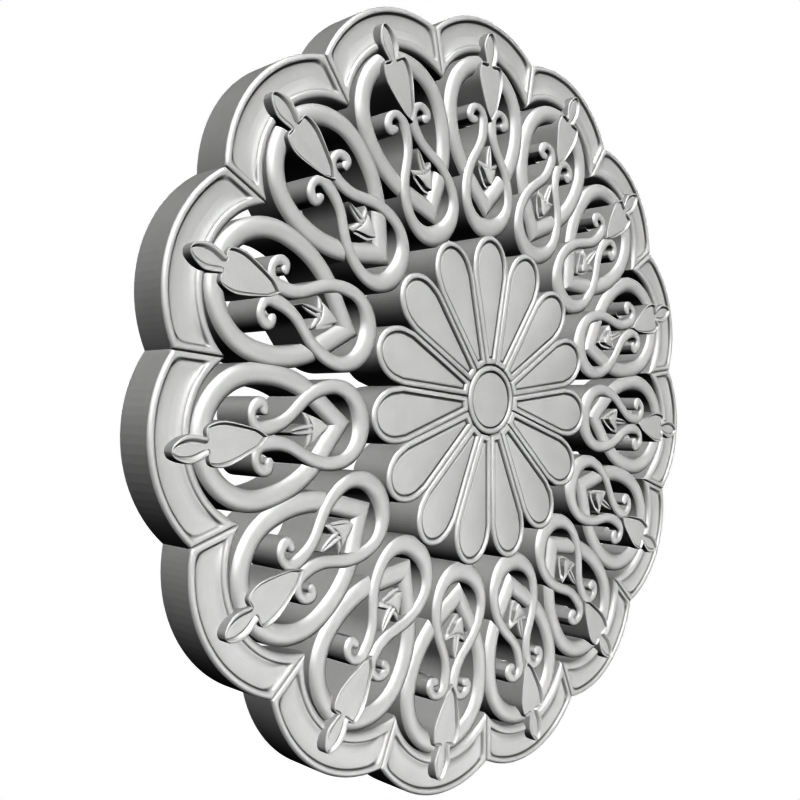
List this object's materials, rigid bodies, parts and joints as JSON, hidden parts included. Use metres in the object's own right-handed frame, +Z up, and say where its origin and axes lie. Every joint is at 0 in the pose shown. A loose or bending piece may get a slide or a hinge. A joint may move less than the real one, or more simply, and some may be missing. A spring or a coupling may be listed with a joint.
{
  "type": "carved rosette",
  "caption": "Round pierced onlay with a scalloped rim, looped knots with scrolls and a petalled flower, carved in one flat-backed board to dress a wall, door or ceiling.",
  "frame": {"origin": "centre of the flat back, on the axis of the rosette", "axes": "+Y out of the flat back into the wall, -Y out of the carved front towards the viewer, +Z up through the crown of one lobe, +X to the viewer's right"},
  "size_m": [0.3978, 0.0246, 0.3969],
  "materials": {
    "carved_wood": "carved wood under an even coat of pale grey satin paint"
  },
  "bodies": {
    "root": {"rosette": "carved_wood"}
  },
  "joints": []
}
